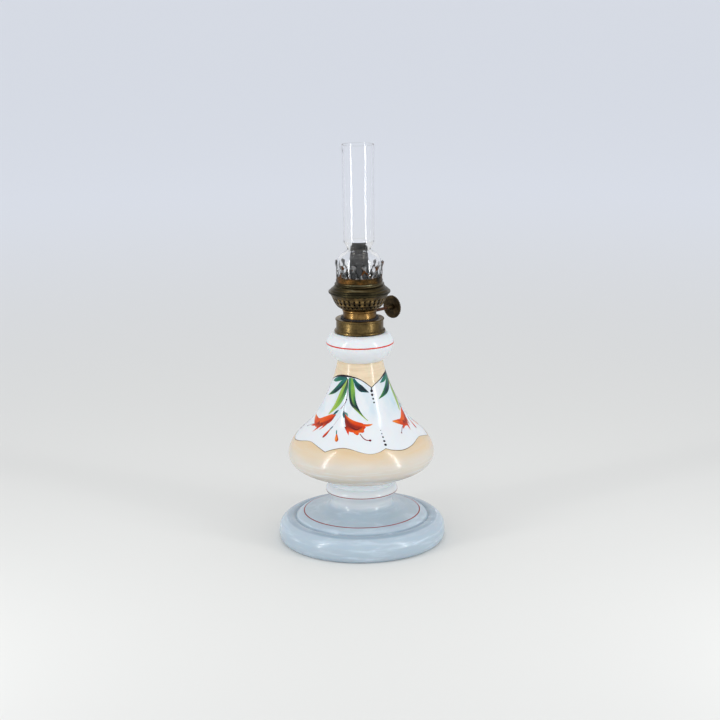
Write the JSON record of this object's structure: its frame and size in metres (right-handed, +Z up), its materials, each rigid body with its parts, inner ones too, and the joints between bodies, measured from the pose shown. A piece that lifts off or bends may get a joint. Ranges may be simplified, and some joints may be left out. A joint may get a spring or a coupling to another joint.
{
  "type": "oil lamp",
  "caption": "Table oil lamp with a painted opal-glass fount on a pale blue glass foot, a brass round-wick burner with a thumbwheel, and a clear glass chimney.",
  "frame": {"origin": "on the table, on the lamp's axis", "axes": "+Z up along the lamp's axis, +X along the winder shaft towards the thumbwheel"},
  "size_m": [0.1284, 0.1284, 0.3045],
  "materials": {
    "blue_opal": "pale blue opal glass, brushed enamel",
    "painted_opal": "white opal glass with fired enamel painting",
    "plaster": "matt lamp cement",
    "dark_brass": "tarnished",
    "golden_brass": "warm satin",
    "heat_tinted_brass": "heat-tinted, rusty orange to grey",
    "wick_tube_metal": "sooted",
    "washer": "dark washer",
    "browned_steel": "rust-browned",
    "wheel_metal": "dark brown patina",
    "cotton": "woven cotton",
    "clear_glass": "clear"
  },
  "bodies": {
    "root": {"glass_foot": "blue_opal", "foot_cement": "plaster", "glass_fount": "painted_opal", "collar": "dark_brass", "collar_cement": "plaster", "burner_gasket": "washer"},
    "burner": {"burner_sleeve": "golden_brass", "sleeve_bead": "golden_brass", "base_plate": "golden_brass", "shaft_bracket": "golden_brass", "shaft_guide": "golden_brass", "air_basket": "dark_brass", "gallery": "dark_brass", "chimney_seat": "dark_brass", "crown": "heat_tinted_brass", "air_plate": "dark_brass", "wick_tube": "wick_tube_metal", "tube_cap": "wick_tube_metal", "air_tube": "wick_tube_metal"},
    "chimney": {"chimney": "clear_glass"},
    "winder": {"wick_shaft": "browned_steel", "shaft_stops": "browned_steel", "spur_wheels": "browned_steel", "thumbwheel": "wheel_metal", "thumbwheel_rivet": "wheel_metal"},
    "wick": {"wick": "cotton", "wick_tails": "cotton"}
  },
  "joints": [
    {"name": "burner_lift", "type": "slide", "parent": "root", "child": "burner", "axis": [0, 0, 1], "range_m": [0, 0.118]},
    {"name": "chimney_lift", "type": "slide", "parent": "burner", "child": "chimney", "axis": [0, 0, 1], "range_m": [0, 0.045]},
    {"name": "winder_turn", "type": "hinge", "parent": "burner", "child": "winder", "pos_m": [0, 0, 0.1766], "axis": [1, 0, 0], "range_deg": [-80, 120]},
    {"name": "wick_raise", "type": "slide", "parent": "burner", "child": "wick", "axis": [0, 0, 1], "range_m": [-0.00448, 0.00671]}
  ],
  "couplings": [
    {"joint": "wick_raise", "follows": "winder_turn", "m_per_rad": 0.0032}
  ]
}
